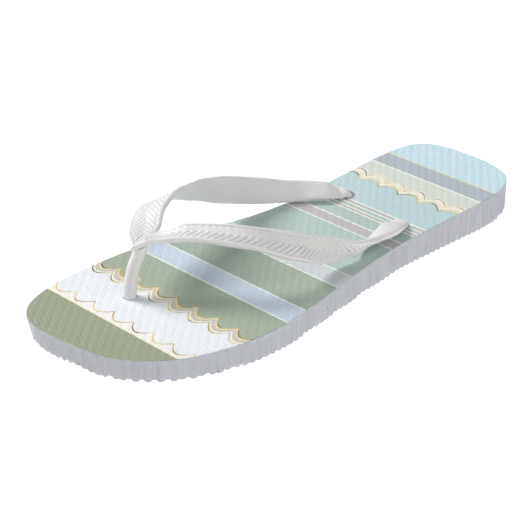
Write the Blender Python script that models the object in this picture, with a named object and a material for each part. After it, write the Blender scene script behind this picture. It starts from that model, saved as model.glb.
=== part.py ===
"""Flip flop for the left foot: a printed footbed, a foam midsole, a treaded outsole and a one-piece thong strap.

The toe points along -Y and the heel along +Y.  The big-toe side is -X.  The tread stands on z = 0.
Lengths below are in millimetres and are turned into metres where meshes are made.
"""
import math

import bpy
import bmesh
from mathutils import Vector
from mathutils.geometry import interpolate_bezier

MM = 0.001

# Sole
SOLE_LENGTH = 250.0
TOE_THICKNESS = 9.5
HEEL_THICKNESS = 14.7
FOOTBED_THICKNESS = 1.3
OUTSOLE_THICKNESS = 3.2
LAYER_GAP = 0.3
CURVE_STEPS = 4

# Tread
TREAD_PITCH = 3.6
TREAD_GROOVE_WIDTH = 1.4
TREAD_GROOVE_DEPTH = 1.1
TREAD_END_MARGIN = 4.0
PANEL_CENTRE = (0.0, 22.0)
PANEL_SIZE = (30.0, 44.0)

# Strap anchors: hole centres in the footbed
TOE_HOLE = (-14.8, -81.6)
LATERAL_HOLE = (22.2, 45.5)
MEDIAL_HOLE = (-17.0, 51.6)
TOE_HOLE_DIAMETER = 6.6
SIDE_HOLE_DIAMETER = 8.2
PLUG_DIAMETER = 14.0
PLUG_BOTTOM = 1.4
PLUG_TOP = 4.2
PLUG_POCKET_DIAMETER = 15.2
PLUG_POCKET_TOP = 4.5
HOLE_SIDES = 24

# Strap
POST_DIAMETER = 5.6
NECK_DIAMETER = 6.8
JOIN_CENTRE = Vector((-13.5, -73.9, 35.1))
JOIN_AXIS = Vector((-0.14, 0.98, 0.40)).normalized()
JOIN_HALF_ANGLE = math.radians(40.0)
JOIN_WIDTH = 11.4
START_OFFSET = -2.1
LATERAL_START = (-3, 9.1, 2.8)
MEDIAL_START = (5, 13.6, 2.8)
RING_POINTS = 12
SHEAR_LENGTH = 16.0
SECTION_ROUNDNESS = 0.45

# Sole outline, anticlockwise seen from above, from the toe tip along the lateral side to the heel and back.
OUTLINE = [
    (-22, -125), (-4, -123.6), (13, -120.6), (27, -112.6), (37, -101), (43.6, -86),
    (47.2, -70), (47.8, -54), (45.2, -35), (40.8, -10), (36.6, 14), (34.2, 40), (33.6, 66),
    (33.4, 90), (30.6, 107), (23, 119), (9, 124.2), (-8, 125), (-23, 123.2), (-32, 116),
    (-34.7, 100), (-33.8, 78), (-32, 54), (-30.8, 30), (-32.2, 10), (-36.4, -10), (-42.4, -32),
    (-46.8, -54), (-47.8, -76), (-46.4, -97), (-41.4, -113), (-33, -121.8),
]

# Strap stations: centre (x, y, z), roll in degrees (0 lies flat, 90 stands on edge), width, thickness.
LATERAL_ARM = [
    (-1.4, -59.4, 37.1, 17, 10.0, 3.0),
    (17.2, -43.0, 35.7, 31, 10.9, 3.0),
    (25.8, -26.5, 29.3, 48, 12.6, 3.0),
    (26.9, -10.0, 22.0, 75, 12.1, 3.0),
    (31.5, 7.0, 18.4, 115, 8.6, 3.0),
    (28.3, 20.0, 16.3, 151, 8.6, 3.0),
    (27.4, 33.0, 17.6, 184, 9.2, 3.4),
]
MEDIAL_ARM = [
    (-27.4, -57.9, 38.6, 21, 14.4, 3.0),
    (-33.4, -39.5, 37.8, 39, 11.9, 3.0),
    (-36.0, -22.5, 33.5, 58, 13.2, 3.0),
    (-37.8, -5.0, 27.0, 79, 13.5, 3.0),
    (-36.3, 12.0, 21.5, 97, 12.4, 3.0),
    (-30.8, 28.0, 17.9, 117, 10.3, 3.2),
    (-20.0, 41.0, 17.6, 142, 8.7, 3.4),
]


def clear_scene():
    for obj in list(bpy.data.objects):
        bpy.data.objects.remove(obj, do_unlink=True)


def footbed_height(y):
    """Height of the footbed's top face, which rises evenly from the toe to the heel."""
    middle = (TOE_THICKNESS + HEEL_THICKNESS) / 2
    return middle + (HEEL_THICKNESS - TOE_THICKNESS) * y / SOLE_LENGTH


def smooth_curve(points, steps, closed):
    """A Bezier curve through the points, whose tangents follow the neighbours on each side."""
    points = [Vector(p) for p in points]
    count = len(points)

    def tangent(i):
        if closed:
            return (points[(i + 1) % count] - points[i - 1]).normalized()
        return (points[min(i + 1, count - 1)] - points[max(i - 1, 0)]).normalized()

    curve = []
    for i in range(count if closed else count - 1):
        start, end = points[i], points[(i + 1) % count]
        reach = (end - start).length / 3
        handles = (start + tangent(i) * reach, end - tangent((i + 1) % count) * reach)
        curve += interpolate_bezier(start, *handles, end, steps + 1)[:-1]
    if not closed:
        curve.append(points[-1])
    return curve


def new_object(name, bm, material=None):
    mesh = bpy.data.meshes.new(name)
    bmesh.ops.recalc_face_normals(bm, faces=bm.faces)
    bmesh.ops.scale(bm, vec=(MM, MM, MM), verts=bm.verts)
    bm.to_mesh(mesh)
    bm.free()
    obj = bpy.data.objects.new(name, mesh)
    bpy.context.scene.collection.objects.link(obj)
    if material:
        mesh.materials.append(material)
    return obj


def make_material(name, colour, roughness):
    material = bpy.data.materials.new(name)
    material.use_nodes = True
    shader = material.node_tree.nodes["Principled BSDF"]
    shader.inputs["Base Color"].default_value = (*colour, 1.0)
    shader.inputs["Roughness"].default_value = roughness
    shader.inputs["Metallic"].default_value = 0.0
    return material


def as_cutter(obj):
    obj.hide_render = True
    obj.display_type = "WIRE"
    return obj


def add_boolean(obj, other, operation):
    modifier = obj.modifiers.new(operation.title(), "BOOLEAN")
    modifier.operation = operation
    modifier.solver = "EXACT"
    modifier.object = other


def shade_round(obj, angle=35):
    obj.data.shade_smooth()
    obj.data.set_sharp_from_angle(angle=math.radians(angle))


def add_tube(bm, rings):
    """A closed tube through rings of equal size, capped at both ends."""
    loops = [[bm.verts.new(p) for p in ring] for ring in rings]
    size = len(loops[0])
    for near, far in zip(loops, loops[1:]):
        for k in range(size):
            bm.faces.new((near[k], near[(k + 1) % size], far[(k + 1) % size], far[k]))
    bm.faces.new(loops[0][::-1])
    bm.faces.new(loops[-1])


def circle(centre, radius, height, sides):
    turn = 2 * math.pi / sides
    return [(centre[0] + radius * math.cos(k * turn), centre[1] + radius * math.sin(k * turn), height)
            for k in range(sides)]


def hole_cutter(name, centre, diameter, bottom, top):
    bm = bmesh.new()
    add_tube(bm, [circle(centre, diameter / 2, z, HOLE_SIDES) for z in (bottom, top)])
    return as_cutter(new_object(name, bm))


def sole_outline():
    """The sole's smooth outline, centred on the origin and scaled to its exact length."""
    curve = smooth_curve(OUTLINE, CURVE_STEPS, closed=True)
    xs = [p.x for p in curve]
    ys = [p.y for p in curve]
    middle = ((min(xs) + max(xs)) / 2, (min(ys) + max(ys)) / 2)
    scale = SOLE_LENGTH / (max(ys) - min(ys))
    return [((p.x - middle[0]) * scale, (p.y - middle[1]) * scale) for p in curve]


def sole_layer(name, bottom, top, material):
    """A slab of the sole's outline between two heights, each given as a function of y."""
    outline = sole_outline()
    bm = bmesh.new()
    add_tube(bm, [[(x, y, level(y)) for x, y in outline] for level in (bottom, top)])
    return new_object(name, bm, material)


def add_box(bm, x_range, y_range, z_range):
    corners = bmesh.ops.create_cube(bm, size=1.0)["verts"]
    for vert in corners:
        vert.co = Vector(
            span[0] if side < 0 else span[1]
            for side, span in zip(vert.co, (x_range, y_range, z_range))
        )


def tread_cutter():
    """Grooves across the underside, which stop short of the plain panel under the arch."""
    bm = bmesh.new()
    reach = 60.0
    depth = (-1.0, TREAD_GROOVE_DEPTH)
    count = int((SOLE_LENGTH - 2 * TREAD_END_MARGIN) / TREAD_PITCH)
    first = -(count - 1) * TREAD_PITCH / 2
    for i in range(count):
        y = first + i * TREAD_PITCH
        span = (y - TREAD_GROOVE_WIDTH / 2, y + TREAD_GROOVE_WIDTH / 2)
        if abs(y - PANEL_CENTRE[1]) < PANEL_SIZE[1] / 2:
            add_box(bm, (-reach, PANEL_CENTRE[0] - PANEL_SIZE[0] / 2), span, depth)
            add_box(bm, (PANEL_CENTRE[0] + PANEL_SIZE[0] / 2, reach), span, depth)
        else:
            add_box(bm, (-reach, reach), span, depth)
    return as_cutter(new_object("cut_tread", bm))


def build_sole():
    print_face = make_material("printed_rubber", (0.52, 0.64, 0.60), 0.6)
    white_foam = make_material("white_foam_rubber", (0.78, 0.80, 0.84), 0.75)
    tread_rubber = make_material("white_tread_rubber", (0.72, 0.74, 0.78), 0.7)

    def footbed_under(y):
        return footbed_height(y) - FOOTBED_THICKNESS

    footbed = sole_layer("footbed", footbed_under, footbed_height, print_face)
    midsole = sole_layer(
        "midsole",
        lambda y: OUTSOLE_THICKNESS + LAYER_GAP,
        lambda y: footbed_under(y) - LAYER_GAP,
        white_foam,
    )
    outsole = sole_layer("outsole", lambda y: 0.0, lambda y: OUTSOLE_THICKNESS, tread_rubber)

    above = HEEL_THICKNESS + 5.0
    anchors = (
        ("toe", TOE_HOLE, TOE_HOLE_DIAMETER),
        ("lateral", LATERAL_HOLE, SIDE_HOLE_DIAMETER),
        ("medial", MEDIAL_HOLE, SIDE_HOLE_DIAMETER),
    )
    for side, centre, diameter in anchors:
        hole = hole_cutter("cut_hole_" + side, centre, diameter, -5.0, above)
        pocket = hole_cutter("cut_pocket_" + side, centre, PLUG_POCKET_DIAMETER, -5.0, PLUG_POCKET_TOP)
        add_boolean(footbed, hole, "DIFFERENCE")
        add_boolean(midsole, hole, "DIFFERENCE")
        add_boolean(midsole, pocket, "DIFFERENCE")
        add_boolean(outsole, pocket, "DIFFERENCE")
    add_boolean(outsole, tread_cutter(), "DIFFERENCE")


def section(width, thickness, roundness):
    """Rounded-rectangle section as (across, outward) offsets, starting at the inner edge."""
    points = []
    for k in range(RING_POINTS):
        angle = 2 * math.pi * (k + 0.5) / RING_POINTS
        c, s = math.cos(angle), math.sin(angle)
        across = math.copysign(abs(c) ** roundness, c) * width / 2
        outward = math.copysign(abs(s) ** roundness, s) * thickness / 2
        points.append((across, outward))
    return points


class Arm:
    """One strap arm: its centre line, its frame and its section at any distance from the join."""

    def __init__(self, stations, hole, inward, start_size):
        leave = Vector((JOIN_AXIS.x, JOIN_AXIS.y, 0)).normalized()
        sideways = Vector((leave.y, -leave.x, 0)) * (-inward)
        self.start_direction = (JOIN_AXIS * math.cos(JOIN_HALF_ANGLE)
                                + sideways * math.sin(JOIN_HALF_ANGLE)).normalized()
        surface = footbed_height(hole[1])
        first = JOIN_CENTRE + self.start_direction * 7.0 + Vector((0, 0, START_OFFSET))
        last = Vector(stations[-1][:3])
        over = Vector((hole[0], hole[1], surface)) - last
        over.z = 0
        over.normalize()
        entry = Vector((hole[0], hole[1], surface))
        up = Vector((0, 0, 1))
        bend = [
            entry - over * 4.6 + up * 2.1,
            entry - over * 1.2 + up * 1.2,
            entry - up * 2.0,
            Vector((hole[0], hole[1], PLUG_TOP)),
        ]
        centres = [JOIN_CENTRE, first] + [Vector(s[:3]) for s in stations] + bend
        tongue = (90.0 + stations[-1][3] / 2, 8.4, 3.2)
        shoulder = (180.0, 7.6, 4.2)
        neck = (180.0, NECK_DIAMETER, NECK_DIAMETER)
        sizes = [(0.0, JOIN_WIDTH, 2.8), start_size] + [s[3:] for s in stations]
        sizes += [tongue, shoulder, neck, neck]
        self.inward = inward
        self.points = smooth_curve(centres, 12, closed=False)
        self.distance = [0.0]
        for a, b in zip(self.points, self.points[1:]):
            self.distance.append(self.distance[-1] + (b - a).length)
        self.length = self.distance[-1]
        self.marks = self.distance[::12]
        self.sizes = sizes
        self.neck = self.marks[-4]

    def at(self, s):
        """Centre and unit tangent at a distance; behind the join the arm runs on straight."""
        if s <= 0:
            return JOIN_CENTRE + self.start_direction * s, self.start_direction
        i = next((k for k in range(1, len(self.distance)) if self.distance[k] >= s), len(self.distance) - 1)
        a, b = self.points[i - 1], self.points[i]
        part = (s - self.distance[i - 1]) / (self.distance[i] - self.distance[i - 1])
        before = self.points[max(i - 2, 0)]
        after = self.points[min(i + 1, len(self.points) - 1)]
        tangent = (b - before).normalized().lerp((after - a).normalized(), part).normalized()
        return a.lerp(b, min(part, 1.0)), tangent

    def size(self, s):
        """Roll, width and thickness, eased between the stations."""
        s = min(max(s, 0.0), self.length)
        i = next((k for k in range(1, len(self.marks)) if self.marks[k] >= s), len(self.marks) - 1)
        part = (s - self.marks[i - 1]) / (self.marks[i] - self.marks[i - 1])
        part = part * part * (3 - 2 * part)
        return [a + (b - a) * part for a, b in zip(self.sizes[i - 1], self.sizes[i])]

    def frame(self, s):
        """Centre, inward width direction and outward face normal."""
        centre, tangent = self.at(s)
        heading = tangent if s < self.neck else self.at(self.neck)[1]
        across = Vector((0, 0, 1)).cross(heading).normalized() * (-self.inward)
        across = (across - tangent * across.dot(tangent)).normalized()
        up = tangent.cross(across) * (-self.inward)
        roll = math.radians(self.size(s)[0])
        width_way = across * math.cos(roll) + up * math.sin(roll)
        face_way = up * math.cos(roll) - across * math.sin(roll)
        return centre, width_way, face_way

    def ring(self, s):
        """Section ring at distance s, sheared near the join so that the two arms meet in a mitre."""
        roll, width, thickness = self.size(s)
        blend = min(max((s - self.neck + 14.0) / 14.0, 0.0), 1.0)
        roundness = SECTION_ROUNDNESS + (1.0 - SECTION_ROUNDNESS) * blend
        shear = max(1.0 - s / SHEAR_LENGTH, 0.0)
        points = []
        for across, outward in section(width, thickness, roundness):
            reach = s + shear * across / math.tan(JOIN_HALF_ANGLE)
            centre, width_way, face_way = self.frame(reach)
            points.append(centre + width_way * across + face_way * outward)
        return points


def mitre_ring(lateral, medial):
    """The shared ring where the arms meet, laid on the plane midway between them."""
    side = Vector((JOIN_AXIS.y, -JOIN_AXIS.x, 0)).normalized()
    ring = []
    for a, b in zip(lateral.ring(0.0), medial.ring(0.0)):
        point = (a + b) / 2
        ring.append(point - side * side.dot(point - JOIN_CENTRE))
    return ring


def plug_rings(hole, neck_ring):
    """The neck's end and the retaining plug under it, moulded in one with the strap."""
    centre = Vector((hole[0], hole[1], 0))
    rings = []
    for radius, height in ((PLUG_DIAMETER / 2, PLUG_TOP), (PLUG_DIAMETER / 2, PLUG_BOTTOM)):
        ring = []
        for point in neck_ring:
            way = Vector((point.x, point.y, 0)) - centre
            ring.append(centre + way.normalized() * radius + Vector((0, 0, height)))
        rings.append(ring)
    return rings


def arm_rings(arm, hole):
    arm_stops = [4.0, 9.0, 14.0]
    count = 15
    for i in range(count):
        arm_stops.append(18.0 + (arm.neck - 6.0 - 18.0) * i / (count - 1))
    shoulder, hole_edge = arm.marks[-3:-1]
    arm_stops += [arm.neck - 3.0, arm.neck, (arm.neck + shoulder) / 2, shoulder]
    arm_stops += [(shoulder + hole_edge) / 2, hole_edge, arm.length]
    rings = [arm.ring(s) for s in arm_stops]
    return rings + plug_rings(hole, rings[-1])


def toe_post():
    """Round post from its plug up through the sole, leaning back under the join."""
    x, y = TOE_HOLE
    surface = footbed_height(y)
    top = JOIN_CENTRE - JOIN_AXIS * 2.8 - Vector((0, 0, 0.4))
    path = [
        (x, y, PLUG_BOTTOM), (x, y, PLUG_TOP), (x, y, PLUG_TOP), (x, y, surface), (x, y + 0.3, surface + 4),
        (x + 0.15, y + 1.2, surface + 9), (x + 0.35, y + 2.7, surface + 14), (top.x, top.y - 0.4, top.z - 3.0),
        (top.x, top.y, top.z),
    ]
    radius = POST_DIAMETER / 2
    radii = [PLUG_DIAMETER / 2] * 2 + [radius] * 5 + [radius + 0.2, radius + 0.4]
    bm = bmesh.new()
    rings = [circle((px, py), r, pz, 16) for (px, py, pz), r in zip(path, radii)]
    slope = JOIN_AXIS.z / JOIN_AXIS.y
    rings[-1] = [(px, py, pz + (py - top.y) * slope) for px, py, pz in rings[-1]]
    add_tube(bm, rings)
    return as_cutter(new_object("shape_toe_post", bm))


def build_strap():
    strap_rubber = make_material("white_strap_rubber", (0.80, 0.80, 0.79), 0.45)
    lateral = Arm(LATERAL_ARM, LATERAL_HOLE, inward=-1, start_size=LATERAL_START)
    medial = Arm(MEDIAL_ARM, MEDIAL_HOLE, inward=1, start_size=MEDIAL_START)
    medial_rings = arm_rings(medial, MEDIAL_HOLE)
    rings = medial_rings[::-1] + [mitre_ring(lateral, medial)] + arm_rings(lateral, LATERAL_HOLE)
    bm = bmesh.new()
    add_tube(bm, rings)
    strap = new_object("strap", bm, strap_rubber)
    add_boolean(strap, toe_post(), "UNION")
    shade_round(strap, 50)


clear_scene()
build_sole()
build_strap()
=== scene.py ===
"""Looks for the flip flop: printed footbed, foam midsole, studded outsole and ribbed thong strap.

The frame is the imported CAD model: toe along -Y, heel along +Y, big-toe side at -X, tread on z = 0.
The sandal's lengths are in millimetres and are turned into metres where meshes are made.
The studio's lengths are in metres.
"""

import math

import bpy
import bmesh
import numpy as np
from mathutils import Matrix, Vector
from mathutils.geometry import interpolate_bezier


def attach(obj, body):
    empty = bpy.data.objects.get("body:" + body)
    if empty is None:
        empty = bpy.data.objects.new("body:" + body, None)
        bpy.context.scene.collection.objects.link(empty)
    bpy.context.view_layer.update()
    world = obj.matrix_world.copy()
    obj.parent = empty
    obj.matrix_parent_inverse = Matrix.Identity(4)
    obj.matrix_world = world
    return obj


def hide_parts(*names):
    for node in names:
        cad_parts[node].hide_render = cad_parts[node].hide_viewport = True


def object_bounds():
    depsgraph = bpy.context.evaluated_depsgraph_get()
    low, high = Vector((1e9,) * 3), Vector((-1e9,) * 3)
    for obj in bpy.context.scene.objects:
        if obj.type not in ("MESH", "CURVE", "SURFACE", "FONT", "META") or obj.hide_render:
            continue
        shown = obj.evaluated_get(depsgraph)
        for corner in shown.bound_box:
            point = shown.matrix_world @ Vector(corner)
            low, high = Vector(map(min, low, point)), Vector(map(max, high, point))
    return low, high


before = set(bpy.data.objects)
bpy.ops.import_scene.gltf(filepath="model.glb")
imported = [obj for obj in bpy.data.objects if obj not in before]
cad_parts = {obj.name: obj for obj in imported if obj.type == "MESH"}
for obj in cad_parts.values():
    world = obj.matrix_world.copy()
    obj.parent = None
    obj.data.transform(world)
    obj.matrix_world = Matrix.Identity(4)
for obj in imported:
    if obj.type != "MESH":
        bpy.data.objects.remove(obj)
cad_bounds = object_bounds()

MM = 0.001

# Sole, as in the CAD model, apart from a toe hole that fits the post more closely
FOOTBED_THICKNESS = 1.3
OUTSOLE_THICKNESS = 3.2
LAYER_GAP = 0.3
TOE_HOLE = (-14.8, -81.6)
LATERAL_HOLE = (22.2, 45.5)
MEDIAL_HOLE = (-17.0, 51.6)
TOE_HOLE_DIAMETER = 6.2
SIDE_HOLE_DIAMETER = 8.2
PLUG_DIAMETER = 14.0
PLUG_BOTTOM = 1.4
PLUG_TOP = 4.2
PLUG_POCKET_DIAMETER = 15.2
PLUG_POCKET_TOP = 4.5
ARCH_PANEL_CENTRE = (0.0, 22.0)
ARCH_PANEL_SIZE = (30.0, 44.0)
CUTTER_BOTTOM = -5.0
CUTTER_TOP = 30.0

# Sole surface detail
OUTLINE_ROWS = 500
FOOTBED_COLUMNS = 112
TREAD_COLUMNS = 150
WALL_LEVELS = 7
EDGE_ROUNDING = 0.3
EDGE_STEPS = 3
STUD_PITCH = 3.6
STUD_HEIGHT = 1.1
STUD_FLATNESS = 0.55
STUD_SWING = 1.25
ARCH_PANEL_EDGE = 0.9
TREAD_INSET = 0.25
TREAD_CORNER = 0.3
SCORE_DEPTH = 0.08
TOE_LEAN = 2.2
TOE_LEAN_CENTRE = (-38.0, -116.0)
TOE_LEAN_SPREAD = 26.0
GRAIN_DEPTH = 0.065
GRAIN_ROWS = (0.205, 0.176)
GRAIN_CROSSING = (0.21, 0.487)
GRAIN_FADE = (0.4, 2.6)
GRAIN_FADE_STRIDE = 8

# Strap, as in the CAD model; lengths along an arm run from the join
POST_DIAMETER = 5.6
NECK_DIAMETER = 6.8
JOIN_CENTRE = Vector((-13.5, -73.9, 35.1))
JOIN_AXIS = Vector((-0.14, 0.98, 0.40)).normalized()
JOIN_HALF_ANGLE = math.radians(40.0)
JOIN_WIDTH = 11.4
START_OFFSET = -2.1
START_REACH = 7.0
LATERAL_START = (-3, 9.1, 2.8)
MEDIAL_START = (5, 13.6, 2.8)
SHEAR_LENGTH = 16.0
TONGUE_SIZE = (8.4, 3.2)
SHOULDER_SIZE = (7.6, 4.2)
# Each arm's bend into its hole: distance short of the hole and height over the footbed.
BEND = ((4.6, 2.1), (1.2, 1.2), (0.0, -2.0))
# Stations: centre (x, y, z), roll in degrees (0 lies flat, 90 stands on edge), width, thickness.
LATERAL_ARM = [
    (-1.4, -59.4, 37.1, 17, 10.0, 3.0),
    (17.2, -43.0, 35.7, 31, 10.9, 3.0),
    (25.8, -26.5, 29.3, 48, 12.6, 3.0),
    (26.9, -10.0, 22.0, 75, 12.1, 3.0),
    (31.5, 7.0, 18.4, 115, 8.6, 3.0),
    (28.3, 20.0, 16.3, 151, 8.6, 3.0),
    (27.4, 33.0, 17.6, 184, 9.2, 3.4),
]
MEDIAL_ARM = [
    (-27.4, -57.9, 38.6, 21, 14.4, 3.0),
    (-33.4, -39.5, 37.8, 39, 11.9, 3.0),
    (-36.0, -22.5, 33.5, 58, 13.2, 3.0),
    (-37.8, -5.0, 27.0, 79, 13.5, 3.0),
    (-36.3, 12.0, 21.5, 97, 12.4, 3.0),
    (-30.8, 28.0, 17.9, 117, 10.3, 3.2),
    (-20.0, 41.0, 17.6, 142, 8.7, 3.4),
]

# Toe post and plugs: the post's centre line from its hole, and the plug's section as radius and height
POST_LEAN = ((0.0, 0.0, 0.0), (0.0, 0.3, 4.0), (0.15, 1.2, 9.0), (0.35, 2.7, 14.0))
PLUG_RADIUS = PLUG_DIAMETER / 2
PLUG_PROFILE = [
    (PLUG_RADIUS - 0.4, PLUG_TOP), (PLUG_RADIUS, PLUG_TOP - 0.4), (PLUG_RADIUS, PLUG_BOTTOM + 0.5),
    (PLUG_RADIUS - 0.15, PLUG_BOTTOM + 0.15), (PLUG_RADIUS - 0.5, PLUG_BOTTOM),
    (2.2, PLUG_BOTTOM), (1.6, PLUG_BOTTOM + 0.5),
]

# Strap surface detail
CURVE_STEPS = 24
POST_CURVE_STEPS = 8
POST_SIDES = 48
RING_SPACING = 0.42
OUTER_POINTS = 44
INNER_POINTS = 14
SECTION_POWER = 4.4
ROUND_POWER = 2.0
NECK_BLEND = 14.0
RIM_WIDTH = 1.4
NOSE_RIM_WIDTH = 1.5
NOSE_RIM_BLEND = (34.0, 12.0)
SUNK_DEPTH = 0.75
SUNK_END = 118.0
SUNK_FADE = 26.0
SUNK_START = (8.0, 40.0)
RIB_PITCH = 3.0
RIB_HEIGHT = 0.62
RIB_SLOPE = 1.25


# ---------------------------------------------------------------- shared maths

def smoothstep(low, high, value):
    part = np.clip((value - low) / (high - low), 0.0, 1.0)
    return part * part * (3 - 2 * part)


def smooth_curve(points, steps):
    """A Bezier curve through the points, whose tangents follow the neighbours on each side."""
    points = [Vector(p) for p in points]
    last = len(points) - 1

    def tangent(i):
        return (points[min(i + 1, last)] - points[max(i - 1, 0)]).normalized()

    curve = []
    for i in range(last):
        start, end = points[i], points[i + 1]
        reach = (end - start).length / 3
        handles = (start + tangent(i) * reach, end - tangent(i + 1) * reach)
        curve += interpolate_bezier(start, *handles, end, steps + 1)[:-1]
    curve.append(points[-1])
    return np.array(curve)


def wavy(length, spacing, seed):
    """Smooth seeded noise along a closed loop, from -1 to 1, as a function of distance."""
    count = max(int(length / spacing), 4)
    values = np.random.default_rng(seed).uniform(-1, 1, count)
    knots = np.linspace(0, length, count + 1)
    closed = np.append(values, values[0])
    return lambda s: np.interp(np.mod(s, length), knots, closed)


def wall_faces(size, count):
    """Quads that join each of the rings to the next, where every ring has size points."""
    faces = []
    for k in range(count - 1):
        for i in range(size):
            j = (i + 1) % size
            faces.append((k * size + i, k * size + j, (k + 1) * size + j, (k + 1) * size + i))
    return faces


def add_object(name, vertices, faces, material):
    mesh = bpy.data.meshes.new(name)
    mesh.from_pydata((np.asarray(vertices) * MM).tolist(), [], faces)
    mesh.materials.append(material)
    obj = bpy.data.objects.new(name, mesh)
    bpy.context.scene.collection.objects.link(obj)
    fix = bmesh.new()
    fix.from_mesh(mesh)
    bmesh.ops.recalc_face_normals(fix, faces=fix.faces)
    fix.to_mesh(mesh)
    fix.free()
    return obj


def shade_round(obj, angle):
    obj.data.shade_smooth()
    obj.data.set_sharp_from_angle(angle=math.radians(angle))


def boolean(obj, cutter, operation):
    modifier = obj.modifiers.new(cutter.name, "BOOLEAN")
    modifier.operation = operation
    modifier.solver = "MANIFOLD"
    modifier.object = cutter
    cutter.hide_render = True
    cutter.display_type = "WIRE"


def apply_modifiers(obj):
    graph = bpy.context.evaluated_depsgraph_get()
    finished = bpy.data.meshes.new_from_object(obj.evaluated_get(graph))
    obj.modifiers.clear()
    obj.data = finished


# ---------------------------------------------------------------- sole

def footbed_level():
    """Height of the footbed's top at y = 0 and its rise for each millimetre towards the heel."""
    vertices = np.array([v.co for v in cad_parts["footbed"].data.vertices]) / MM
    toe = vertices[vertices[:, 1] < vertices[:, 1].min() + 3]
    heel = vertices[vertices[:, 1] > vertices[:, 1].max() - 3]
    low, high = toe[toe[:, 2].argmax()], heel[heel[:, 2].argmax()]
    rise = (high[2] - low[2]) / (high[1] - low[1])
    return low[2] - rise * low[1], rise


LEVEL, RISE = footbed_level()


def footbed_height(y):
    return LEVEL + RISE * y


def footbed_seam(_, y):
    """Middle of the gap between the footbed and the midsole."""
    return footbed_height(y) - FOOTBED_THICKNESS - LAYER_GAP / 2


def outsole_seam(_, y):
    """Middle of the gap between the midsole and the outsole."""
    return np.full_like(y, OUTSOLE_THICKNESS + LAYER_GAP / 2)


def grained(x, y):
    """Height of the footbed's top with its embossed grain: slanting rows broken into rice-shaped lumps."""
    rows = 2 * math.pi * (GRAIN_ROWS[0] * x + GRAIN_ROWS[1] * y)
    crossing = 2 * math.pi * (GRAIN_CROSSING[0] * x + GRAIN_CROSSING[1] * y)
    lumps = np.sin(rows) + 0.2 * np.sin(2 * rows + 1.9) + 0.6 * np.sin(crossing)
    from_edge = np.full(len(x), 1e3)
    for edge_x, edge_y in OUTLINE.points[::GRAIN_FADE_STRIDE]:
        from_edge = np.minimum(from_edge, np.hypot(x - edge_x, y - edge_y))
    fade = smoothstep(*GRAIN_FADE, from_edge)
    return footbed_height(y) + GRAIN_DEPTH * lumps * fade


class Outline:
    """The sole's outline, read from the footbed node and resampled from the toe tip along both sides."""

    def __init__(self):
        points = np.array([v.co.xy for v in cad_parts["footbed"].data.vertices]) / MM
        away = np.ones(len(points), bool)
        for hole in (TOE_HOLE, LATERAL_HOLE, MEDIAL_HOLE):
            away &= np.hypot(*(points - hole).T) > SIDE_HOLE_DIAMETER
        points = np.unique(points[away].round(4), axis=0)
        points = points[np.argsort(np.arctan2(points[:, 1], points[:, 0]))]
        loop = np.roll(points, -points[:, 1].argmin(), axis=0)
        loop = self.smooth(loop)
        heel = loop[:, 1].argmax()
        closed = np.vstack([loop, loop[:1]])
        lateral = self.resample(closed[:heel + 1])
        medial = self.resample(closed[heel:])
        self.points = np.vstack([lateral[:-1], medial[:-1]])
        ahead = np.roll(self.points, -1, axis=0)
        behind = np.roll(self.points, 1, axis=0)
        run = ahead - behind
        run /= np.linalg.norm(run, axis=1)[:, None]
        self.outward = np.stack([run[:, 1], -run[:, 0]], axis=1)
        steps = np.linalg.norm(ahead - self.points, axis=1)
        self.distance = np.concatenate([[0.0], np.cumsum(steps)[:-1]])
        self.length = steps.sum()

    @staticmethod
    def smooth(loop):
        """Four-point subdivision of a closed loop, three times."""
        for _ in range(3):
            ahead = np.roll(loop, -1, axis=0)
            behind = np.roll(loop, 1, axis=0)
            beyond = np.roll(loop, -2, axis=0)
            middle = (9 * (loop + ahead) - behind - beyond) / 16
            loop = np.stack([loop, middle], axis=1).reshape(-1, 2)
        return loop

    @staticmethod
    def resample(line):
        steps = np.linalg.norm(np.diff(line, axis=0), axis=1)
        along = np.concatenate([[0.0], np.cumsum(steps)])
        wanted = np.linspace(0, along[-1], OUTLINE_ROWS + 1)
        return np.stack([np.interp(wanted, along, line[:, k]) for k in (0, 1)], axis=1)

    def inset(self, amount):
        """The outline moved inwards; the amount may differ from point to point."""
        return self.points - self.outward * np.reshape(amount, (-1, 1))


OUTLINE = Outline()


def toe_lean():
    """How far the wall's foot tucks under at the big-toe corner of the toe."""
    away = np.hypot(*(OUTLINE.points - TOE_LEAN_CENTRE).T)
    return TOE_LEAN * np.exp(-((away / TOE_LEAN_SPREAD) ** 2))


def scored(z):
    """Outward movement of the wall: upright scoring left by the cutting die, on a slow slanting drift."""
    s = OUTLINE.distance
    coarse = wavy(OUTLINE.length, spacing=2.6, seed=3)(s)
    fine = wavy(OUTLINE.length, spacing=1.3, seed=4)(s)
    drift = wavy(OUTLINE.length, spacing=9.0, seed=5)(s + z * 1.4)
    return SCORE_DEPTH * (0.45 * coarse + 0.45 * fine + 0.5 * drift)


def wall_loop(z, inset=0.0):
    """One ring of the sole's wall at height z, which may differ from point to point."""
    z = np.broadcast_to(z, len(OUTLINE.points)).astype(float)
    top = footbed_height(OUTLINE.points[:, 1])
    tuck = toe_lean() * (1.0 - z / top)
    flat = OUTLINE.inset(inset + tuck - scored(z))
    return np.column_stack([flat, z])


def leaf_faces(first, ring, columns):
    """Faces of a grid that spans the ring from side to side, and the count of its inner vertices."""
    rows = len(ring) // 2

    def at(row, column):
        if row == 0:
            return ring[0]
        if row == rows:
            return ring[rows]
        if column == 0:
            return ring[-row]
        if column == columns:
            return ring[row]
        return first + (row - 1) * (columns - 1) + column - 1

    faces = []
    for row in range(rows):
        for column in range(columns):
            corners = (at(row, column), at(row, column + 1), at(row + 1, column + 1), at(row + 1, column))
            faces.append(tuple(dict.fromkeys(corners)))
    return faces


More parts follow.
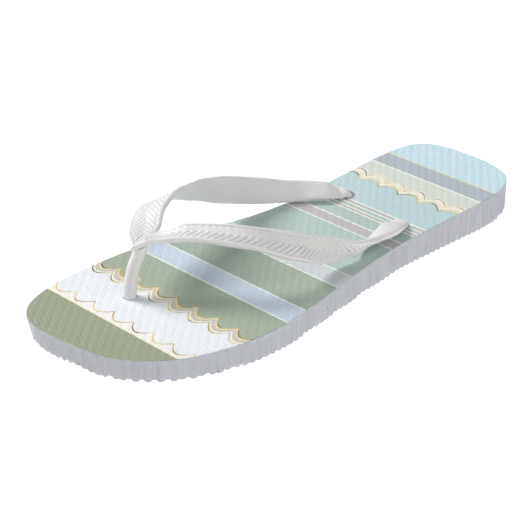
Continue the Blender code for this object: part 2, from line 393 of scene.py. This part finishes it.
def leaf_points(loop, columns):
    """Inner points of that grid, in x and y."""
    rows = len(loop) // 2
    lateral = loop[1:rows, :2]
    medial = loop[:rows:-1, :2]
    part = (np.arange(1, columns) / columns)[None, :, None]
    return (medial[:, None] * (1 - part) + lateral[:, None] * part).reshape(-1, 2)


def slab(name, loops, top, top_columns, bottom, bottom_columns, material):
    """A closed slab: wall loops from top to bottom, with a grid of the given height on each face."""
    count = len(loops[0])
    vertices = list(loops)
    faces = wall_faces(count, len(loops))
    first = count * len(loops)
    for ring_index, height, columns in ((0, top, top_columns), (len(loops) - 1, bottom, bottom_columns)):
        ring = list(range(ring_index * count, (ring_index + 1) * count))
        flat = leaf_points(loops[ring_index], columns)
        faces += leaf_faces(first, ring, columns)
        vertices.append(np.column_stack([flat, height(flat[:, 0], flat[:, 1])]))
        first += len(flat)
    return add_object(name, np.vstack(vertices), faces, material)


def disc_cutter(name, centre, diameter, bottom, top):
    bm = bmesh.new()
    made = bmesh.ops.create_cone(
        bm, cap_ends=True, segments=64,
        radius1=diameter / 2 * MM, radius2=diameter / 2 * MM, depth=(top - bottom) * MM,
    )
    middle = Vector((centre[0], centre[1], (top + bottom) / 2)) * MM
    bmesh.ops.translate(bm, verts=made["verts"], vec=middle)
    mesh = bpy.data.meshes.new(name)
    bm.to_mesh(mesh)
    bm.free()
    obj = bpy.data.objects.new(name, mesh)
    bpy.context.scene.collection.objects.link(obj)
    return obj


def cut(obj, cutters):
    for cutter in cutters:
        boolean(obj, cutter, "DIFFERENCE")
    apply_modifiers(obj)


def stud_height(x, y):
    """Height of the underside: rounded studs in rows, and a plain panel under the arch."""
    wave = 2 * math.pi / STUD_PITCH
    waves = np.cos(x * wave) + np.cos((y + STUD_PITCH / 2) * wave)
    stud = np.clip(STUD_FLATNESS + STUD_SWING * waves / 2, 0.0, 1.0)
    outside_x = np.abs(x - ARCH_PANEL_CENTRE[0]) - ARCH_PANEL_SIZE[0] / 2
    outside_y = np.abs(y - ARCH_PANEL_CENTRE[1]) - ARCH_PANEL_SIZE[1] / 2
    plain = smoothstep(ARCH_PANEL_EDGE, 0.0, np.maximum(outside_x, outside_y))
    return STUD_HEIGHT * (1.0 - stud) * (1.0 - plain)


def build_sole(print_face, foam, tread):
    y = OUTLINE.points[:, 1]
    top = footbed_height(y)
    seam_top = footbed_seam(None, y)
    seam_low = outsole_seam(None, y)

    cutters = {
        "toe": (TOE_HOLE, TOE_HOLE_DIAMETER),
        "lateral": (LATERAL_HOLE, SIDE_HOLE_DIAMETER),
        "medial": (MEDIAL_HOLE, SIDE_HOLE_DIAMETER),
    }
    holes = [
        disc_cutter("hole_" + side, centre, diameter, CUTTER_BOTTOM, CUTTER_TOP)
        for side, (centre, diameter) in cutters.items()
    ]
    pockets = [
        disc_cutter("pocket_" + side, centre, PLUG_POCKET_DIAMETER, CUTTER_BOTTOM, PLUG_POCKET_TOP)
        for side, (centre, _) in cutters.items()
    ]

    edge = []
    for k in range(EDGE_STEPS + 1):
        turn = math.pi / 2 * k / EDGE_STEPS
        drop = EDGE_ROUNDING * (1 - math.cos(turn))
        inset = EDGE_ROUNDING * (1 - math.sin(turn))
        edge.append(wall_loop(top - drop, inset))
    footbed = slab(
        "footbed_printed", edge + [wall_loop(seam_top)],
        grained, FOOTBED_COLUMNS,
        footbed_seam, 1,
        print_face,
    )
    cut(footbed, holes)
    shade_round(footbed, 40)

    levels = np.linspace(0, 1, WALL_LEVELS)
    midsole = slab(
        "midsole_foam", [wall_loop(seam_top + (seam_low - seam_top) * part) for part in levels],
        footbed_seam, 1,
        outsole_seam, 1,
        foam,
    )
    cut(midsole, holes + pockets)
    shade_round(midsole, 40)

    foot = wall_loop(0.0, TREAD_INSET)
    foot[:, 2] = stud_height(foot[:, 0], foot[:, 1])
    corner = wall_loop(foot[:, 2] + TREAD_CORNER)
    middle = wall_loop(seam_low * 0.7 + corner[:, 2] * 0.3)
    outsole = slab(
        "outsole_tread", [wall_loop(seam_low), middle, corner, foot],
        outsole_seam, 1,
        stud_height, TREAD_COLUMNS,
        tread,
    )
    cut(outsole, pockets)
    shade_round(outsole, 50)

    for piece, node, slot in (
        (footbed, "footbed", "printed_rubber"),
        (midsole, "midsole", "white_foam_rubber"),
        (outsole, "outsole", "white_tread_rubber"),
    ):
        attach(piece, "root")
        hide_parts(node)


# ---------------------------------------------------------------- strap

class Arm:
    """One strap arm: its centre line, its axes and its section at any distances from the join."""

    def __init__(self, stations, hole, inward, start_size):
        leave = Vector((JOIN_AXIS.x, JOIN_AXIS.y, 0)).normalized()
        sideways = Vector((leave.y, -leave.x, 0)) * (-inward)
        start = (JOIN_AXIS * math.cos(JOIN_HALF_ANGLE) + sideways * math.sin(JOIN_HALF_ANGLE)).normalized()
        first = JOIN_CENTRE + start * START_REACH + Vector((0, 0, START_OFFSET))
        surface = footbed_height(hole[1])
        entry = Vector((hole[0], hole[1], surface))
        up = Vector((0, 0, 1))
        over = entry - Vector(stations[-1][:3])
        over.z = 0
        over.normalize()
        bend = [entry - over * short + up * rise for short, rise in BEND]
        bend.append(Vector((hole[0], hole[1], PLUG_TOP)))
        centres = [JOIN_CENTRE, first] + [Vector(s[:3]) for s in stations] + bend
        tongue = (90.0 + stations[-1][3] / 2, *TONGUE_SIZE)
        shoulder = (180.0, *SHOULDER_SIZE)
        neck = (180.0, NECK_DIAMETER, NECK_DIAMETER)
        sizes = [(0.0, JOIN_WIDTH, 2.8), start_size] + [s[3:] for s in stations]
        sizes += [tongue, shoulder, neck, neck]
        self.inward = inward
        self.hole = hole
        self.start = np.array(start)
        self.points = smooth_curve(centres, CURVE_STEPS)
        steps = np.linalg.norm(np.diff(self.points, axis=0), axis=1)
        self.distance = np.concatenate([[0.0], np.cumsum(steps)])
        self.length = self.distance[-1]
        self.marks = self.distance[::CURVE_STEPS]
        self.sizes = np.array(sizes)
        self.neck = self.marks[-4]
        run = np.gradient(self.points, self.distance, axis=0)
        self.tangents = run / np.linalg.norm(run, axis=1)[:, None]

    def along(self, values, s):
        return np.stack([np.interp(s, self.distance, values[:, k]) for k in range(3)], axis=-1)

    def size(self, s):
        """Roll, width and thickness, eased between the stations."""
        s = np.clip(s, 0.0, self.length)
        i = np.clip(np.searchsorted(self.marks, s, side="right") - 1, 0, len(self.marks) - 2)
        part = (s - self.marks[i]) / (self.marks[i + 1] - self.marks[i])
        part = (part * part * (3 - 2 * part))[..., None]
        return self.sizes[i] * (1 - part) + self.sizes[i + 1] * part

    def axes(self, s):
        """Centres, inward width directions and outward face normals."""
        behind = np.minimum(s, 0.0)[..., None]
        centre = self.along(self.points, np.maximum(s, 0.0)) + self.start * behind
        tangent = self.along(self.tangents, np.maximum(s, 0.0))
        tangent /= np.linalg.norm(tangent, axis=-1, keepdims=True)
        heading = self.along(self.tangents, np.clip(s, 0.0, self.neck))
        across = np.cross([0.0, 0.0, 1.0], heading) * (-self.inward)
        across /= np.linalg.norm(across, axis=-1, keepdims=True)
        across -= tangent * np.sum(across * tangent, axis=-1, keepdims=True)
        across /= np.linalg.norm(across, axis=-1, keepdims=True)
        up = np.cross(tangent, across) * (-self.inward)
        roll = np.radians(self.size(s)[..., :1])
        width_way = across * np.cos(roll) + up * np.sin(roll)
        face_way = up * np.cos(roll) - across * np.sin(roll)
        return centre, width_way, face_way

    def rings(self, stops):
        """Section rings, sheared near the join so that the two arms meet in a mitre."""
        s = np.asarray(stops, float)[:, None]
        turn = np.concatenate([
            np.linspace(0, math.pi, OUTER_POINTS, endpoint=False),
            np.linspace(math.pi, 2 * math.pi, INNER_POINTS, endpoint=False),
        ])[None, :]
        _, width, thickness = (self.size(s)[..., k] for k in range(3))
        blend = np.clip((s - self.neck + NECK_BLEND) / NECK_BLEND, 0.0, 1.0)
        power = SECTION_POWER + (ROUND_POWER - SECTION_POWER) * blend
        across = width / 2 * np.cos(turn)
        outward = thickness / 2 * (1 - np.abs(np.cos(turn)) ** power) ** (1 / power) * np.sign(np.sin(turn))
        shear = np.maximum(1.0 - s / SHEAR_LENGTH, 0.0)
        reach = s + shear * across / math.tan(JOIN_HALF_ANGLE)
        outward = outward - self.relief(reach, across, width) * (outward > 0)
        centre, width_way, face_way = self.axes(reach)
        return centre + width_way * across[..., None] + face_way * outward[..., None]

    def relief(self, reach, across, width):
        """Depth below the outer face: a panel sunk between smooth rims, with chevron ribs rising in it."""
        rim = RIM_WIDTH + (NOSE_RIM_WIDTH - RIM_WIDTH) * smoothstep(*NOSE_RIM_BLEND, reach)
        from_rim = width / 2 - rim + 0.35 - np.abs(across)
        inside = smoothstep(0.0, 0.7, from_rim)
        along = smoothstep(SUNK_END, SUNK_END - SUNK_FADE, reach)
        along *= 0.5 + 0.5 * smoothstep(*SUNK_START, reach)
        wave = np.cos(2 * math.pi * (reach + RIB_SLOPE * np.abs(across)) / RIB_PITCH)
        rib = smoothstep(-0.7, 0.5, wave)
        shoulder = smoothstep(0.3, 1.1, from_rim)
        return inside * along * (SUNK_DEPTH - RIB_HEIGHT * rib * shoulder)


def plug_rings(arm, neck_ring):
    """The retaining plug under the neck: a disc with a rounded lower edge and a small dimple."""
    centre = np.array([arm.hole[0], arm.hole[1], 0.0])
    way = neck_ring - centre
    way[:, 2] = 0
    way /= np.linalg.norm(way, axis=1)[:, None]
    return [centre + way * r + np.array([0, 0, z]) for r, z in PLUG_PROFILE]


def arm_rings(arm):
    count = int(arm.length / RING_SPACING)
    stops = np.linspace(0.0, arm.length, count + 1)[1:]
    rings = list(arm.rings(stops))
    return rings + plug_rings(arm, rings[-1])


def mitre_ring(lateral, medial):
    """The shared ring where the arms meet, laid on the plane midway between them."""
    side = np.array(Vector((JOIN_AXIS.y, -JOIN_AXIS.x, 0)).normalized())
    middle = (lateral.rings([0.0])[0] + medial.rings([0.0])[0]) / 2
    return middle - np.outer((middle - np.array(JOIN_CENTRE)) @ side, side)


def tube(name, rings, material):
    """A closed tube through the rings, with a flat face at each end."""
    size = len(rings[0])
    faces = wall_faces(size, len(rings))
    last = (len(rings) - 1) * size
    faces.append(tuple(range(size)))
    faces.append(tuple(range(last, last + size)))
    return add_object(name, np.vstack(rings), faces, material)


def toe_post(material):
    """Round post with its plug, leaning back from the sole to the join."""
    x, y = TOE_HOLE
    surface = footbed_height(y)
    top = JOIN_CENTRE - JOIN_AXIS * 2.8 - Vector((0, 0, 0.4))
    centres = [(x, y, PLUG_TOP)]
    centres += [(x + dx, y + dy, surface + dz) for dx, dy, dz in POST_LEAN]
    centres += [(top.x, top.y - 0.4, top.z - 3.0), tuple(top)]
    path = smooth_curve(centres, POST_CURVE_STEPS)
    turn = np.linspace(0, 2 * math.pi, POST_SIDES, endpoint=False)
    circle = np.column_stack([np.cos(turn), np.sin(turn), np.zeros_like(turn)])
    rings = [circle * r + np.array([x, y, z]) for r, z in reversed(PLUG_PROFILE)]
    base = POST_DIAMETER / 2
    slope = JOIN_AXIS.z / JOIN_AXIS.y
    for k, point in enumerate(path):
        part = k / (len(path) - 1)
        flare = max(part - 0.8, 0.0) / 0.2
        radius = base + 0.2 * part + 0.3 * flare
        rings.append(circle * radius + point)
        rings[-1][:, 2] += circle[:, 1] * radius * slope * flare
    return tube("toe_post", rings, material)


def build_strap(rubber):
    lateral = Arm(LATERAL_ARM, LATERAL_HOLE, inward=-1, start_size=LATERAL_START)
    medial = Arm(MEDIAL_ARM, MEDIAL_HOLE, inward=1, start_size=MEDIAL_START)
    rings = arm_rings(medial)[::-1] + [mitre_ring(lateral, medial)] + arm_rings(lateral)
    strap = tube("strap_moulding", rings, rubber)
    boolean(strap, toe_post(rubber), "UNION")
    apply_modifiers(strap)
    shade_round(strap, 60)
    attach(strap, "root")
    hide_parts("strap")


# ---------------------------------------------------------------- materials

class Look:
    """A material's nodes, with short ways to add and join them."""

    def __init__(self, name):
        self.material = bpy.data.materials.new(name)
        self.material.use_nodes = True
        self.tree = self.material.node_tree
        self.shader = self.tree.nodes["Principled BSDF"]
        place = self.tree.nodes.new("ShaderNodeTexCoord").outputs["Object"]
        self.place = self.scaled(place, 1 / MM)

    def link(self, value, socket):
        if isinstance(value, bpy.types.NodeSocket):
            self.tree.links.new(value, socket)
        else:
            socket.default_value = value

    def scaled(self, vector, factor):
        node = self.tree.nodes.new("ShaderNodeVectorMath")
        node.operation = "MULTIPLY"
        self.link(vector, node.inputs[0])
        factors = (factor,) * 3 if isinstance(factor, (int, float)) else factor
        node.inputs[1].default_value = factors
        return node.outputs[0]

    def split(self, vector):
        node = self.tree.nodes.new("ShaderNodeSeparateXYZ")
        self.link(vector, node.inputs[0])
        return node.outputs

    def calc(self, operation, *values):
        node = self.tree.nodes.new("ShaderNodeMath")
        node.operation = operation
        for value, socket in zip(values, node.inputs):
            self.link(value, socket)
        return node.outputs[0]

    def noise(self, size, detail=2.0, roughness=0.5, stretch=(1, 1, 1)):
        """Noise whose features are about size millimetres across."""
        node = self.tree.nodes.new("ShaderNodeTexNoise")
        self.link(self.scaled(self.place, tuple(k / size for k in stretch)), node.inputs["Vector"])
        node.inputs["Scale"].default_value = 1.0
        node.inputs["Detail"].default_value = detail
        node.inputs["Roughness"].default_value = roughness
        return node.outputs["Fac"]

    def cells(self, size, randomness=1.0, stretch=(1, 1, 1)):
        node = self.tree.nodes.new("ShaderNodeTexVoronoi")
        node.feature = "SMOOTH_F1"
        self.link(self.scaled(self.place, tuple(k / size for k in stretch)), node.inputs["Vector"])
        node.inputs["Scale"].default_value = 1.0
        node.inputs["Smoothness"].default_value = 0.25
        node.inputs["Randomness"].default_value = randomness
        return node.outputs["Distance"]

    def remap(self, value, low, high, to_low, to_high):
        node = self.tree.nodes.new("ShaderNodeMapRange")
        for index, number in enumerate((value, low, high, to_low, to_high)):
            self.link(number, node.inputs[index])
        return node.outputs[0]

    def mix(self, part, first, second, blend="MIX"):
        node = self.tree.nodes.new("ShaderNodeMix")
        node.data_type = "RGBA"
        node.blend_type = blend
        self.link(part, node.inputs[0])
        for value, socket in ((first, node.inputs[6]), (second, node.inputs[7])):
            self.link((*value, 1.0) if isinstance(value, tuple) else value, socket)
        return node.outputs[2]

    def bump(self, *layers):
        """Bump from layers of (height value, depth in millimetres)."""
        normal = None
        for height, depth in layers:
            node = self.tree.nodes.new("ShaderNodeBump")
            node.inputs["Strength"].default_value = 1.0
            node.inputs["Distance"].default_value = depth * MM
            self.link(height, node.inputs["Height"])
            if normal is not None:
                self.link(normal, node.inputs["Normal"])
            normal = node.outputs[0]
        self.link(normal, self.shader.inputs["Normal"])

    def finish(self, colour, roughness, specular=0.5):
        self.link(colour, self.shader.inputs["Base Color"])
        self.link(roughness, self.shader.inputs["Roughness"])
        self.shader.inputs["Specular IOR Level"].default_value = specular
        return self.material


def linear(red, green, blue):
    """A display colour from 0 to 255 as the shader's linear colour."""
    values = []
    for channel in (red, green, blue):
        part = channel / 255
        values.append(part / 12.92 if part <= 0.04045 else ((part + 0.055) / 1.055) ** 2.4)
    return tuple(values)


OLIVE = linear(163, 170, 145)
BLUSH = linear(250, 246, 245)
WHITE = linear(243, 245, 249)
HALO = linear(246, 243, 234)
CREAM = linear(212, 206, 194)
SAGE = linear(173, 184, 167)
LINE = linear(250, 251, 240)
POWDER = linear(206, 218, 232)
SAGE_MINT = linear(170, 182, 170)
LAVENDER = linear(214, 217, 221)
MINT = linear(191, 208, 202)
MAUVE = linear(201, 197, 200)
AQUA = linear(200, 221, 224)
BUTTER = linear(240, 232, 206)
BEIGE = linear(224, 228, 220)
SLATE = linear(188, 196, 204)
SKY = linear(210, 234, 242)
STRAW = linear(240, 236, 180)
# The gold foil's two tones: a painted highlight and a painted dark reflection, mixed by noise in
# printed_rubber.
GOLD_HIGHLIGHT = linear(240, 212, 130)
GOLD_DARK_REFLECTION = linear(112, 82, 46)
WASH = (0.62, 0.72, 0.62)
SPECKLE = (0.45, 0.5, 0.5)
WALL_DARK = linear(178, 180, 186)
WALL_LIGHT = linear(200, 202, 207)
# Painted shade for the inside of the foam's open pores.
PORE_SHADE = linear(128, 130, 140)
STRAP_DARK = linear(229, 227, 225)
STRAP_LIGHT = linear(235, 233, 232)
STRAP_MARK = linear(190, 190, 192)
FLOOR_DARK = (0.13, 0.13, 0.13)
FLOOR_LIGHT = (0.15, 0.15, 0.15)
GOLD = "gold"
BLACK = (0.0, 0.0, 0.0)
FULL = (1.0, 1.0, 1.0)

# The print from toe to heel: the shape of each band's toe edge, where it lies, and the band's colour.
PRINT = [
    ("straight", -130.0, OLIVE), ("straight", -101.4, STRAW), ("straight", -100.9, BLUSH),
    ("first", -99.3, GOLD), ("first", -98.65, HALO), ("first", -98.1, WHITE),
    ("second", -78.1, GOLD), ("second", -77.4, HALO), ("second", -76.2, CREAM),
    ("second", -73.9, BUTTER), ("second", -73.2, GOLD), ("second", -72.3, SAGE),
    ("straight", -51.4, LINE), ("straight", -50.7, POWDER), ("straight", -39.35, LINE),
    ("straight", -38.7, SAGE_MINT), ("straight", -16.15, LINE), ("straight", -15.5, LAVENDER),
    ("straight", -5.25, LINE), ("straight", -4.6, MINT), ("straight", 25.15, LINE),
    ("straight", 25.9, MAUVE), ("straight", 31.95, LINE), ("straight", 32.8, MINT),
    ("straight", 40.7, LINE), ("straight", 41.5, MAUVE), ("straight", 43.1, LINE),
    ("straight", 43.9, MINT), ("straight", 46.0, LINE), ("straight", 46.9, MAUVE),
    ("straight", 48.8, LINE), ("straight", 49.7, AQUA),
    ("heel", 71.8, GOLD), ("heel", 72.45, BUTTER), ("heel", 74.2, HALO),
    ("heel", 76.9, GOLD), ("heel", 77.5, HALO), ("heel", 78.4, BEIGE),
    ("straight", 87.5, LINE), ("straight", 88.5, SLATE), ("straight", 99.4, STRAW),
    ("straight", 100.1, SKY),
]


def scallops(look, x, first_cusp, pitch, height):
    """How far the scalloped edge is from its crowns, along y: zero at a crown and height at a cusp."""
    turns = look.calc("DIVIDE", look.calc("SUBTRACT", x, first_cusp), pitch)
    place = look.calc("FRACT", look.calc("ADD", turns, 20.0))
    from_crown = look.calc("ABSOLUTE", look.calc("SUBTRACT", place, 0.5))
    part = look.calc("MULTIPLY", from_crown, 2.0)
    arc = look.calc("SUBTRACT", 1.0, look.calc("COSINE", look.calc("MULTIPLY", part, math.pi / 2)))
    bowl = look.calc("POWER", part, 2.0)
    shape = look.calc("ADD", look.calc("MULTIPLY", arc, 0.6), look.calc("MULTIPLY", bowl, 0.4))
    return look.calc("MULTIPLY", shape, height)


def printed_colour(look, x, y, gold):
    """The striped print, painted band by band from the toe to the heel."""
    edges = {
        "straight": y,
        "first": look.calc("SUBTRACT", y, scallops(look, x, 2.3, 12.3, 4.7)),
        "second": look.calc("SUBTRACT", y, scallops(look, x, 0.1, 12.2, 4.8)),
        "heel": look.calc("ADD", y, scallops(look, x, 0.2, 12.15, 4.4)),
    }
    colour = PRINT[0][2]
    shine = BLACK
    for shape, start, paint in PRINT[1:]:
        past = look.calc("GREATER_THAN", edges[shape], start)
        colour = look.mix(past, colour, gold if paint == GOLD else paint)
        shine = look.mix(past, shine, FULL if paint in (GOLD, STRAW) else BLACK)
    return colour, shine


def printed_rubber():
    """Matt rubber with a watercolour print of stripes and scalloped gold lines; the gold lines carry a
    painted reflection, pale in places and deep brown in others.
    """
    look = Look("printed_rubber")
    x, y, _ = look.split(look.place)
    # Painted reflection on the gold foil lines: noise blends a pale highlight tone with a deep brown.
    foil_reflection = look.remap(look.noise(12.0, 2.0), 0.4, 0.6, 0.0, 1.0)
    gold = look.mix(foil_reflection, GOLD_DARK_REFLECTION, GOLD_HIGHLIGHT)
    colour, shine = printed_colour(look, x, y, gold)

    wash = look.remap(look.noise(14.0, 4.0, 0.6), 0.3, 0.7, 0.0, 1.0)
    colour = look.mix(0.10, colour, look.mix(wash, WASH, FULL), "MULTIPLY")
    speckle = look.remap(look.noise(1.3, 3.0, 0.75), 0.3, 0.7, 0.0, 1.0)
    colour = look.mix(0.2, colour, look.mix(speckle, SPECKLE, FULL), "MULTIPLY")

    wall_tone = look.remap(look.noise(2.2, 3.0, 0.6, (1, 1, 0.08)), 0.3, 0.7, 0.0, 1.0)
    wall_colour = look.mix(wall_tone, WALL_DARK, WALL_LIGHT)
    facing = look.tree.nodes.new("ShaderNodeNewGeometry").outputs["Normal"]
    up = look.calc("GREATER_THAN", look.split(facing)[2], 0.55)
    colour = look.mix(up, wall_colour, colour)
    roughness = look.remap(look.noise(3.0), 0.3, 0.7, 0.52, 0.66)
    roughness = look.calc("SUBTRACT", roughness, look.calc("MULTIPLY", shine, 0.18))
    grains = look.cells(1.5, 0.6, (1.0, 1.3, 1.0))
    look.bump((grains, 0.16), (look.noise(0.8, 2.0), 0.08), (look.noise(0.4, 2.0), 0.03))
    return look.finish(colour, roughness, 0.3)


def foam_rubber(name, dark, light):
    """Die-cut foam: pale cool grey with upright scoring, a few open pores with painted shade in them, and
    fine grain.
    """
    look = Look(name)
    scoring = look.noise(1.5, 4.0, 0.65, (1, 1, 0.06))
    patches = look.noise(16.0, 3.0)
    tone = look.remap(look.calc("ADD", scoring, look.calc("MULTIPLY", patches, 0.5)), 0.5, 1.0, 0.0, 1.0)
    colour = look.mix(tone, dark, light)
    # Open pores: the pits sink the bump and darken the colour halfway to a grey, as painted shade inside
    # them.
    pits_and_pore_shade = look.remap(look.cells(5.2, 1.0, (1, 1, 0.7)), 0.045, 0.085, 1.0, 0.0)
    colour = look.mix(look.calc("MULTIPLY", pits_and_pore_shade, 0.5), colour, PORE_SHADE)
    grain = look.noise(0.35, 2.0, 0.7)
    roughness = look.remap(patches, 0.3, 0.7, 0.66, 0.82)
    look.bump((scoring, 0.35), (grain, 0.06), (look.calc("SUBTRACT", 1.0, pits_and_pore_shade), 0.25))
    return look.finish(colour, roughness, 0.3)


def strap_rubber():
    """Moulded white rubber: satin, with a soft mould grain and faint handling marks."""
    look = Look("strap_rubber")
    cloud = look.noise(22.0, 3.0)
    fine = look.noise(0.6, 3.0, 0.6)
    colour = look.mix(look.remap(cloud, 0.3, 0.7, 0.0, 1.0), STRAP_DARK, STRAP_LIGHT)
    colour = look.mix(look.remap(fine, 0.3, 0.7, 0.05, 0.0), colour, STRAP_MARK)
    roughness = look.remap(look.noise(6.0, 3.0, 0.6), 0.3, 0.7, 0.36, 0.5)
    look.bump((look.noise(1.2, 3.0), 0.05), (fine, 0.02))
    return look.finish(colour, roughness, 0.45)


def studio_floor():
    """A floor with a white glow, on which only faint shadows show."""
    look = Look("studio_floor")
    tone = look.remap(look.noise(400.0, 2.0), 0.3, 0.7, 0.0, 1.0)
    colour = look.mix(tone, FLOOR_DARK, FLOOR_LIGHT)
    look.shader.inputs["Emission Color"].default_value = (1.0, 1.0, 1.0, 1.0)
    look.shader.inputs["Emission Strength"].default_value = 0.96
    return look.finish(colour, 0.75, 0.1)


# ---------------------------------------------------------------- studio

FLOOR_SIZE = 4.0
FLOOR_DROP = 0.0001
SKY_COLOUR = (0.98, 0.99, 1.0, 1.0)
SKY_STRENGTH = 0.28
CAMERA_AZIMUTH = math.radians(45.68)
CAMERA_ELEVATION = math.radians(27.33)
CAMERA_AIM = Vector((6.0, -23.5, 12.0)) * MM
CAMERA_DISTANCE = 0.7535
CAMERA_LENS = 119.34

# Each softbox: name, direction from the sandal, distance, width and height in metres, power in watts.
SOFTBOXES = [
    ("key", (-1.05, -0.28, 1.1), 1.8, (0.8, 0.8), 26.0),
    ("overhead", (0.7, -0.1, 1.0), 1.8, (1.6, 1.6), 7.0),
    ("lateral_fill", (1.0, -0.1, 0.22), 2.2, (1.4, 0.7), 8.0),
    ("medial_fill", (-1.0, -0.6, 0.1), 2.0, (1.0, 0.6), 9.0),
]


def add_floor():
    bm = bmesh.new()
    bmesh.ops.create_grid(bm, x_segments=2, y_segments=2, size=FLOOR_SIZE)
    mesh = bpy.data.meshes.new("studio_floor")
    bm.to_mesh(mesh)
    bm.free()
    mesh.materials.append(studio_floor())
    floor = bpy.data.objects.new("studio_floor", mesh)
    floor.location.z = -FLOOR_DROP
    bpy.context.scene.collection.objects.link(floor)


def add_softbox(name, direction, distance, size, power):
    """A large area light that faces the sandal from the given direction."""
    light = bpy.data.lights.new(name, "AREA")
    light.shape = "RECTANGLE"
    light.size = size[0]
    light.size_y = size[1]
    light.energy = power
    lamp = bpy.data.objects.new(name, light)
    way = Vector(direction).normalized()
    lamp.location = way * distance
    lamp.rotation_euler = way.to_track_quat("Z", "Y").to_euler()
    bpy.context.scene.collection.objects.link(lamp)


def add_light():
    world = bpy.data.worlds.new("studio")
    world.use_nodes = True
    sky = world.node_tree.nodes["Background"]
    sky.inputs["Color"].default_value = SKY_COLOUR
    sky.inputs["Strength"].default_value = SKY_STRENGTH
    bpy.context.scene.world = world
    for softbox in SOFTBOXES:
        add_softbox(*softbox)


def add_camera():
    """A long lens that looks down on the sandal from its toe and lateral side."""
    low, high = cad_bounds
    target = Vector(((low.x + high.x) / 2, 0.0, 0.0)) + CAMERA_AIM
    level = math.cos(CAMERA_ELEVATION)
    back = Vector((
        math.sin(CAMERA_AZIMUTH) * level, -math.cos(CAMERA_AZIMUTH) * level, math.sin(CAMERA_ELEVATION),
    ))
    data = bpy.data.cameras.new("camera")
    data.sensor_width = 36.0
    data.lens = CAMERA_LENS
    data.clip_start = 0.05
    data.clip_end = 20.0
    camera = bpy.data.objects.new("camera", data)
    camera.location = target + back * CAMERA_DISTANCE
    camera.rotation_euler = back.to_track_quat("Z", "Y").to_euler()
    bpy.context.scene.collection.objects.link(camera)
    bpy.context.scene.camera = camera


add_camera()
add_floor()
add_light()
build_sole(
    printed_rubber(),
    foam_rubber("foam_rubber", WALL_DARK, WALL_LIGHT),
    foam_rubber("tread_rubber", WALL_DARK, WALL_LIGHT),
)
build_strap(strap_rubber())

bpy.context.scene.view_settings.view_transform = "Standard"
